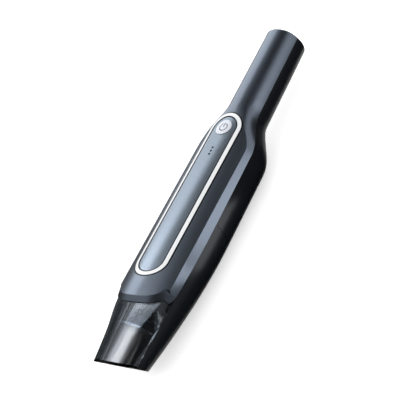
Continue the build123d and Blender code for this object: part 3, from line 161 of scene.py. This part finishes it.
def make_grain_group():
    """Moulded plastic: a mottled colour, uneven gloss and a fine spark-eroded grain."""
    inputs = {"Color": (0.1, 0.1, 0.1, 1), "Roughness": 0.4, "Variation": 0.1,
              "Grain Size": 2500.0, "Grain Depth": 0.1}
    tree, given, made = group_tree("moulded_grain", inputs, ["Color", "Roughness", "Normal"])
    place = tree.nodes.new("ShaderNodeTexCoord").outputs["Object"]
    cloud = node(tree, "ShaderNodeTexNoise", Vector=place, Scale=22.0, Detail=4.0)
    grain = node(tree, "ShaderNodeTexNoise", Vector=place, Scale=given["Grain Size"], Detail=2.0)
    relief = node(tree, "ShaderNodeBump", Strength=given["Grain Depth"], Distance=0.00006,
                  Height=grain.outputs["Fac"])
    feed(tree, made["Color"], mottled(tree, given["Variation"], given["Color"],
                                      cloud.outputs["Fac"], 0.55, 1.45))
    feed(tree, made["Roughness"], math_node(tree, "MULTIPLY_ADD", cloud.outputs["Fac"], 0.08,
                                            given["Roughness"]))
    feed(tree, made["Normal"], relief.outputs["Normal"])
    return tree


# Painted shade: dark gaps and lines, the lens pockets, the nozzle's rim and mould line, and the
# duct's inner end
GAP_SHADE = (0.01, 0.01, 0.01)
RIM_SHADE = (0.012, 0.012, 0.014)
DUCT_END_SHADE = (0.1, 0.115, 0.14)
# Widths of the painted shade round the trim ring and along the inlay's edge
SHELL_SHADE_WIDTH = 0.0011
INLAY_SHADE_WIDTH = 0.00045
RING_BAND = 0.0033
FACET_DEPTH = 0.000016
LENS_COUNT = 3
LENS_PITCH = 0.00345
# Width of the painted shade round each charge light
LENS_SHADE_RING = 0.00025
PLATE_THICKNESS = 0.0014
MOUTH_SLANT = 0.423
MOUTH_TOP = 0.0541
# Painted shade round the nozzle's mouth and along its mould line
RIM_WIDTH = 0.0022
MOULD_SHADE_SIDE = -0.0015
MOULD_SHADE_WIDTH = 0.0007


def tone_group(name, tone, mask, *details):
    """A group that paints a second tone, a shade, where the mask, made from the place on the piece,
    is one.
    """
    tree, given, made = group_tree(name, {"Color": (0.2, 0.2, 0.2, 1)}, ["Color"])
    point = tree.nodes.new("ShaderNodeTexCoord").outputs["Object"]
    place = node(tree, "ShaderNodeSeparateXYZ", Vector=point).outputs
    mixed = node(tree, "ShaderNodeMixRGB", Fac=mask(tree, place, *details), Color1=given["Color"],
                 Color2=(*tone, 1))
    feed(tree, made["Color"], mixed.outputs["Color"])
    return tree


def length_of(tree, first, second):
    """Length of the diagonal of two distances."""
    squares = (math_node(tree, "MULTIPLY", side, side) for side in (first, second))
    return math_node(tree, "SQRT", math_node(tree, "ADD", *squares))


def outline_distance(tree, place, outlined):
    """Distance outside the outline of the trim ring or the panel inlay."""
    low, high = (Vector(corner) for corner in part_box(outlined))
    radius = (high.y - low.y) / 2
    straight = (high.x - low.x) / 2 - radius
    along = math_node(tree, "SUBTRACT", place["X"], (low.x + high.x) / 2)
    beyond = math_node(tree, "SUBTRACT", math_node(tree, "ABSOLUTE", along), straight)
    reach = length_of(tree, math_node(tree, "MAXIMUM", beyond, 0.0), place["Y"])
    return math_node(tree, "SUBTRACT", reach, radius)


def line_mask(tree, place, outlined, start, width):
    """Line of painted shade along an outline, from a start outside it."""
    distance = outline_distance(tree, place, outlined)
    return math_node(tree, "COMPARE", distance, start + width / 2, width / 2)


def wall_mask(tree, place):
    """Upright walls of the trim ring, painted in shade, whose flat facets lie a little inside their
    curve.
    """
    distance = outline_distance(tree, place, "trim_ring")
    band = math_node(tree, "COMPARE", distance, -RING_BAND / 2, RING_BAND / 2 - FACET_DEPTH)
    return math_node(tree, "SUBTRACT", 1.0, band)


def lens_shade_mask(tree, place):
    """Painted shade: a dark ring round each of the three charge lights, where their pockets fall in
    shade.
    """
    low, high = (Vector(corner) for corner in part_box("led_lenses"))
    along = math_node(tree, "SUBTRACT", place["X"], (low.x + high.x) / 2)
    nearest = math_node(tree, "WRAP", along, LENS_PITCH / 2, -LENS_PITCH / 2)
    reach = length_of(tree, nearest, place["Y"])
    pocket_shade = math_node(tree, "LESS_THAN", reach, (high.y - low.y) / 2 + LENS_SHADE_RING)
    row = math_node(tree, "COMPARE", along, 0.0, LENS_COUNT * LENS_PITCH / 2)
    return math_node(tree, "MULTIPLY", pocket_shade, row)


def duct_end_mask(tree, place):
    """Inner end of the duct, beyond its plate, with the ears of the flap's hinge, painted in shade.
    """
    plate_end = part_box("duct_plate")[0][0] + PLATE_THICKNESS
    return math_node(tree, "GREATER_THAN", place["X"], plate_end)


def nozzle_mask(tree, place):
    """Painted shade on the clear cup: a dark band round the slanted mouth of the nozzle, and a dark
    line along the mould line on its top.
    """
    depth = math_node(tree, "MULTIPLY_ADD", place["Z"], MOUTH_SLANT, place["X"])
    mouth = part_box("dust_cup")[0][0] + MOUTH_SLANT * MOUTH_TOP
    rim = math_node(tree, "LESS_THAN", depth, mouth + RIM_WIDTH)
    line = math_node(tree, "COMPARE", place["Y"], MOULD_SHADE_SIDE, MOULD_SHADE_WIDTH / 2)
    return math_node(tree, "MAXIMUM", rim, line)


FLAKE = make_flake_group()
GRAIN = make_grain_group()
# Painted shade: a dark line on the shell round the trim ring, where shade falls in its gap
RING_GAP_SHADE = tone_group("ring_gap_shade", GAP_SHADE, line_mask, "trim_ring", 0.0, SHELL_SHADE_WIDTH)
# Painted shade: a dark line along the inlay's edge, where shade falls in its gap
INLAY_GAP_SHADE = tone_group("inlay_gap_shade", GAP_SHADE, line_mask, "panel_inlay", -INLAY_SHADE_WIDTH, INLAY_SHADE_WIDTH)
# Painted shade on the trim ring's upright walls
RING_WALL_SHADE = tone_group("ring_wall_shade", GAP_SHADE, wall_mask)
# Painted shade round the charge lights' pockets
LENS_POCKET_SHADE = tone_group("lens_pocket_shade", GAP_SHADE, lens_shade_mask)
# Painted shade on the duct's inner end and the plate's ears
DUCT_END = tone_group("duct_end", DUCT_END_SHADE, duct_end_mask)
# Painted shade on the nozzle's rim and mould line
NOZZLE_SHADE = tone_group("nozzle_shade", RIM_SHADE, nozzle_mask)


# Materials
def finish_material(name, effect, tones, **values):
    """A material whose colour, roughness and relief come from an effect, with its painted shade."""
    material, tree, shader = new_material(name)
    surface = tree.nodes.new("ShaderNodeGroup")
    surface.node_tree = effect
    for label, value in values.items():
        surface.inputs[label.replace("_", " ")].default_value = value
    color = surface.outputs["Color"]
    for group in tones:
        tone = tree.nodes.new("ShaderNodeGroup")
        tone.node_tree = group
        feed(tree, tone.inputs["Color"], color)
        color = tone.outputs["Color"]
    feed(tree, shader.inputs["Base Color"], color)
    feed(tree, shader.inputs["Roughness"], surface.outputs["Roughness"])
    feed(tree, shader.inputs["Normal"], surface.outputs["Normal"])
    return material, shader


def metallic_paint(name, color, roughness, metallic, flake=0.25, tones=()):
    """Satin metallic paint."""
    material, shader = finish_material(name, FLAKE, tones, Color=(*color, 1), Roughness=roughness,
                                       Flake=flake, Scale=3200.0)
    shader.inputs["Metallic"].default_value = metallic
    return material


def moulded_plastic(name, color, roughness, specular=0.5, grain_size=2500.0, grain_depth=0.1,
                    tones=()):
    """Opaque moulded plastic, rubber, paper or sleeve."""
    material, shader = finish_material(name, GRAIN, tones, Color=(*color, 1), Roughness=roughness,
                                       Variation=0.15, Grain_Size=grain_size,
                                       Grain_Depth=grain_depth)
    shader.inputs["Specular IOR Level"].default_value = specular
    return material


def plain_metal(name, color, roughness, grain_depth=0.15, tones=()):
    """Plated or machined metal."""
    material, shader = finish_material(name, GRAIN, tones, Color=(*color, 1), Roughness=roughness,
                                       Variation=0.2, Grain_Size=1800.0, Grain_Depth=grain_depth)
    shader.inputs["Metallic"].default_value = 1.0
    return material


def clear_plastic(name, color, roughness, mirror, tones=()):
    """Smoked clear moulding with a thin mirror coat."""
    material, shader = finish_material(name, GRAIN, tones, Color=(*color, 1), Roughness=roughness,
                                       Variation=0.05, Grain_Size=300.0, Grain_Depth=0.01)
    shader.inputs["Metallic"].default_value = mirror
    shader.inputs["Transmission Weight"].default_value = 1.0
    shader.inputs["IOR"].default_value = 1.2
    return material


SHELL_PAINT = metallic_paint("shell_paint", (0.175, 0.197, 0.235), 0.27, metallic=1.0,
                             tones=[RING_GAP_SHADE])
INLAY_PAINT = metallic_paint("inlay_paint", (0.25, 0.285, 0.33), 0.25, metallic=1.0,
                             tones=[INLAY_GAP_SHADE, LENS_POCKET_SHADE])
RING_WHITE = moulded_plastic("ring_white", (0.78, 0.79, 0.8), 0.35, tones=[RING_WALL_SHADE])
BUTTON_SILVER = metallic_paint("button_silver", (0.62, 0.63, 0.68), 0.4, metallic=0.5, flake=0.1)
ICON_GREY = moulded_plastic("icon_grey", (0.05, 0.058, 0.075), 0.5, specular=0.2)
BACK_BLACK = moulded_plastic("back_black", (0.006, 0.0075, 0.01), 0.25, specular=0.35)
SMOKED_CLEAR = clear_plastic("smoked_clear", (0.62, 0.66, 0.71), 0.08, mirror=0.12,
                             tones=[NOZZLE_SHADE])
# Beyond the plate the duct's metal and the plate's ears are painted in shade
DUCT_METAL = plain_metal("duct_metal", (0.95, 0.82, 0.7), 0.25, grain_depth=0.05, tones=[DUCT_END])
PLATE_METAL = plain_metal("plate_metal", (0.55, 0.57, 0.6), 0.2, grain_depth=0.05, tones=[DUCT_END])
INNER_BLACK = moulded_plastic("inner_black", (0.02, 0.02, 0.022), 0.5)
LENS = moulded_plastic("light_lens", (0.006, 0.007, 0.01), 0.5, specular=0.05)
RUBBER = moulded_plastic("rubber_black", (0.015, 0.015, 0.015), 0.65, grain_depth=0.3)
PAPER = moulded_plastic("filter_paper", (0.72, 0.72, 0.68), 0.9, specular=0.2, grain_size=900.0,
                        grain_depth=0.6)
BOARD_GREEN = moulded_plastic("board_green", (0.02, 0.14, 0.06), 0.4)
FAN_GREY = moulded_plastic("fan_grey", (0.22, 0.23, 0.25), 0.4)
CELL_BLUE = moulded_plastic("cell_blue", (0.05, 0.22, 0.42), 0.35)
CHIP_WHITE = moulded_plastic("chip_white", (0.8, 0.8, 0.74), 0.4)
STEEL = plain_metal("steel", (0.56, 0.56, 0.58), 0.3)
BRASS = plain_metal("brass", (0.68, 0.5, 0.24), 0.3)
FERRITE = moulded_plastic("ferrite", (0.04, 0.04, 0.042), 0.6, grain_depth=0.4)
FOAM = moulded_plastic("foam_grey", (0.05, 0.05, 0.055), 0.95, specular=0.1, grain_size=1200.0,
                       grain_depth=1.0)

FINISHES = {
    SHELL_PAINT: ["front_shell"],
    INLAY_PAINT: ["panel_inlay"],
    RING_WHITE: ["trim_ring"],
    BUTTON_SILVER: ["power_button"],
    ICON_GREY: ["power_icon"],
    BACK_BLACK: ["back_shell", "cup_back", "release_button"],
    SMOKED_CLEAR: ["dust_cup"],
    DUCT_METAL: ["inlet_duct"],
    PLATE_METAL: ["duct_plate"],
    INNER_BLACK: ["motor_mount", "motor_plate", "motor_cap", "filter_frame", "filter_cage",
                  "filter_cap", "battery_tube", "tact_switch"],
    LENS: ["led_lenses"],
    RUBBER: ["filter_seal", "flap_valve", "motor_ring"],
    PAPER: ["filter_pleats"],
    BOARD_GREEN: ["main_board", "charge_board"],
    FAN_GREY: ["impeller"],
    CELL_BLUE: ["battery_cells"],
    CHIP_WHITE: ["status_leds"],
    STEEL: ["case_screws", "board_screws", "motor_screws", "motor_can", "motor_shaft", "rotor_core",
            "cell_tabs", "charge_port", "flap_pin", "release_spring"],
    BRASS: ["motor_bushings", "commutator"],
    FERRITE: ["motor_magnets"],
    FOAM: ["exhaust_foam"],
}


def dress_nodes():
    """Gives every carried-over node its finish."""
    for material, names in FINISHES.items():
        for name in names:
            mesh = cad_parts[name].data
            mesh.materials.clear()
            mesh.materials.append(material)


def mesh_object(name, shape, material):
    """An object at the origin, made of a finished shape and its material."""
    mesh = bpy.data.meshes.new(name)
    shape.to_mesh(mesh)
    shape.free()
    mesh.materials.append(material)
    made = bpy.data.objects.new(name, mesh)
    bpy.context.scene.collection.objects.link(made)
    return made


# Release spring
COIL_WIRE = 0.0006
COIL_SIDES = 10
COIL_TURNS = 5
COIL_STEPS = 120


def add_release_coil():
    """Coil spring behind the release button, which the button squeezes."""
    low, high = (Vector(corner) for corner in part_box("release_spring"))
    middle = (low + high) / 2
    radius = (high.x - low.x - COIL_WIRE) / 2
    rise = high.y - low.y - COIL_WIRE
    shape = bmesh.new()
    bmesh.ops.create_circle(shape, cap_ends=False, radius=COIL_WIRE / 2, segments=COIL_SIDES)
    bmesh.ops.translate(shape, verts=shape.verts,
                        vec=(middle.x + radius, low.y + COIL_WIRE / 2, middle.z))
    bmesh.ops.spin(shape, geom=shape.verts[:] + shape.edges[:], cent=middle, axis=(0, 1, 0),
                   dvec=(0, rise / COIL_STEPS, 0), angle=2 * math.pi * COIL_TURNS, steps=COIL_STEPS,
                   use_merge=False, use_duplicate=False)
    bmesh.ops.holes_fill(shape, edges=[edge for edge in shape.edges if edge.is_boundary])
    bmesh.ops.recalc_face_normals(shape, faces=shape.faces)
    coil = mesh_object("release_coil", shape, STEEL)
    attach(coil, "main")
    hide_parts("release_spring")
    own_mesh(coil)


# Studio: angles are measured round the vacuum, from straight up towards the camera's side
FLOOR_SIDE = 3.0
FLOOR_DROP = 0.0005
FLOOR_GLOW = 0.5
SURROUND_LIGHT = 0.4
CARD_TINT = (0.92, 0.96, 1.0)
CARD_DISTANCE = 0.6
RIGHT_EDGE = 96
LAMP_DISTANCE = 0.9
LAMP_LENGTH = 1.6
LAMP_POWER = 4.0

# Each lamp's left and right angle, and brightness
SOFTBOXES = {
    "left_softbox": (-82, -30, 0.9),
    "top_softbox": (-30, 54, 0.75),
    "right_softbox": (54, 92, 0.25),
}

# What the vacuum mirrors, by stretch of the studio's length: each card's left angle and brightness
CARD_STRETCHES = {
    (-2.5, -0.12): [(-96, 0.5), (16, 0.03)],
    (-0.12, 0.012): [(-96, 0.05), (-62, 0.4), (-50, 1.0), (-28, 0.9), (14, 0.4), (24, 0.05)],
    (0.012, 0.09): [(-96, 0.05), (-62, 0.5), (-50, 1.5), (-34, 1.0), (-26, 4.4), (-8, 3.2),
                    (4, 1.8), (14, 1.0), (24, 0.5), (40, 0.2)],
    (0.09, 0.19): [(-96, 0.3), (-82, 0.7), (-72, 1.6), (-66, 3.2), (-36, 0.9), (-27, 0.25),
                   (4, 0.18), (16, 0.08), (52, 2.2)],
    (0.19, 0.345): [(-96, 1.6), (-60, 1.9), (-36, 0.6), (-28, 0.2), (-10, 0.42), (4, 0.3),
                    (12, 0.17), (28, 0.05), (52, 2.2)],
    (0.345, 0.6): [(-96, 1.9), (-34, 0.4), (-19, 0.1), (-4, 0.02), (20, 0.17), (34, 0.45),
                   (48, 0.75), (65, 0.9)],
    (0.6, 2.5): [(-96, 1.9), (-34, 1.0), (-19, 0.2), (-4, 0.02), (20, 0.17), (34, 0.45),
                 (48, 0.75), (65, 0.9)],
}

# What the pieces inside the clear cup mirror
INSIDE_STRETCH = (-0.8, 0.8)
INSIDE_CARDS = [(-96, 0.03), (-52, 0.6), (-36, 1.2), (-22, 2.7), (34, 0.7), (48, 0.02)]

# Cards on the floor: ends along the vacuum, ends across it, height and brightness
FLOOR_CARDS = [
    (-1.5, 1.5, 0.022, 1.5, 0.0008, 0.2),
    (-1.5, 1.5, -1.5, -0.022, 0.0008, 0.0),
    (-0.6, -0.05, 0.022, 0.6, 0.0016, 0.06),
    (-0.055, 0.02, -0.6, -0.055, 0.0016, 2.0),
    (-0.16, -0.055, -0.6, -0.055, 0.0016, 0.25),
]


def chord_matrix(from_angle, to_angle, distance, middle):
    """Place of a flat panel between two angles round the vacuum, local X along it; its width."""
    angle = math.radians((from_angle + to_angle) / 2)
    half = math.radians((to_angle - from_angle) / 2)
    away = Vector((0, -math.sin(angle), math.cos(angle)))
    side = Vector((1, 0, 0))
    turn = Matrix((side, away.cross(side), away)).transposed()
    place = Vector((middle, 0, AXIS_HEIGHT)) + away * distance * math.cos(half)
    return Matrix.LocRotScale(place, turn.to_quaternion(), None), 2 * distance * math.sin(half)


def add_softbox(name, from_angle, to_angle, brightness):
    """Soft rectangular lamp along the vacuum."""
    place, width = chord_matrix(from_angle, to_angle, LAMP_DISTANCE, 0)
    data = bpy.data.lights.new(name, "AREA")
    data.shape = "RECTANGLE"
    data.size = LAMP_LENGTH
    data.size_y = width
    data.energy = LAMP_POWER * brightness * LAMP_LENGTH * width
    lamp = bpy.data.objects.new(name, data)
    bpy.context.scene.collection.objects.link(lamp)
    lamp.matrix_world = place
    lamp.visible_glossy = False


def dull_material(name, color, roughness, glow_color):
    """A material without gloss, its node tree and the socket for its glow."""
    material, tree, shader = new_material(name)
    shader.inputs["Base Color"].default_value = (*color, 1)
    shader.inputs["Roughness"].default_value = roughness
    shader.inputs["Specular IOR Level"].default_value = 0.0
    shader.inputs["Emission Color"].default_value = (*glow_color, 1)
    return material, tree, shader.inputs["Emission Strength"]


def add_card(name, place, length, width, brightness, outside, inside):
    """Card that mirrors outside or inside the clear cup show, and the camera doesn't."""
    material, tree, glow = dull_material(name, (0, 0, 0), 1.0, CARD_TINT)
    feed(tree, glow, brightness)
    shape = bmesh.new()
    bmesh.ops.create_grid(shape, x_segments=1, y_segments=1, size=0.5)
    bmesh.ops.scale(shape, verts=shape.verts, vec=(length, width, 1))
    bmesh.ops.transform(shape, matrix=place, verts=shape.verts)
    card = mesh_object(name, shape, material)
    card.visible_camera = False
    card.visible_diffuse = False
    card.visible_shadow = False
    card.visible_glossy = outside
    card.visible_transmission = inside


def add_arch(cards, start, end, inside=False):
    """Cards side by side in an arch over the vacuum, along one stretch of the studio."""
    edges = [angle for angle, brightness in cards[1:]] + [RIGHT_EDGE]
    for (left, brightness), right in zip(cards, edges):
        place, width = chord_matrix(left, right, CARD_DISTANCE, (start + end) / 2)
        add_card("arch_card", place, end - start, width, brightness, outside=not inside,
                 inside=inside)


def add_cards():
    """Bright and dark cards over the vacuum and on the floor beside it."""
    for (start, end), cards in CARD_STRETCHES.items():
        add_arch(cards, start, end)
    add_arch(INSIDE_CARDS, *INSIDE_STRETCH, inside=True)
    for x_from, x_to, y_from, y_to, height, brightness in FLOOR_CARDS:
        place = Matrix.Translation(((x_from + x_to) / 2, (y_from + y_to) / 2, height))
        add_card("floor_card", place, x_to - x_from, y_to - y_from, brightness,
                 outside=True, inside=True)


def add_floor():
    """White floor under the vacuum, which keeps its shadow."""
    material, tree, glow = dull_material("floor_white", (0.9, 0.9, 0.9), 0.9, (1, 1, 1))
    path = tree.nodes.new("ShaderNodeLightPath")
    feed(tree, glow, math_node(tree, "MULTIPLY", path.outputs["Is Camera Ray"], FLOOR_GLOW))
    shape = bmesh.new()
    bmesh.ops.create_grid(shape, x_segments=1, y_segments=1, size=FLOOR_SIDE / 2)
    bmesh.ops.translate(shape, verts=shape.verts, vec=(0, 0, -FLOOR_DROP))
    floor = mesh_object("floor", shape, material)


def light_world():
    """Even pale surroundings, white where the camera, a mirror or clear plastic shows them."""
    world = bpy.data.worlds.new("studio")
    bpy.context.scene.world = world
    world.use_nodes = True
    tree = world.node_tree
    back = tree.nodes["Background"]
    back.inputs["Color"].default_value = (1, 1, 1, 1)
    path = tree.nodes.new("ShaderNodeLightPath").outputs
    seen = math_node(tree, "MAXIMUM", path["Is Camera Ray"], path["Is Glossy Ray"])
    shown = math_node(tree, "MAXIMUM", seen, path["Is Transmission Ray"])
    level = node(tree, "ShaderNodeMapRange", Value=shown, To_Min=SURROUND_LIGHT, To_Max=1.0)
    feed(tree, back.inputs["Strength"], level.outputs["Result"])


add_camera()
dress_nodes()
add_release_coil()
add_floor()
add_cards()
light_world()
for softbox, (left_angle, right_angle, softbox_level) in SOFTBOXES.items():
    add_softbox(softbox, left_angle, right_angle, softbox_level)
bpy.context.scene.view_settings.view_transform = "Standard"
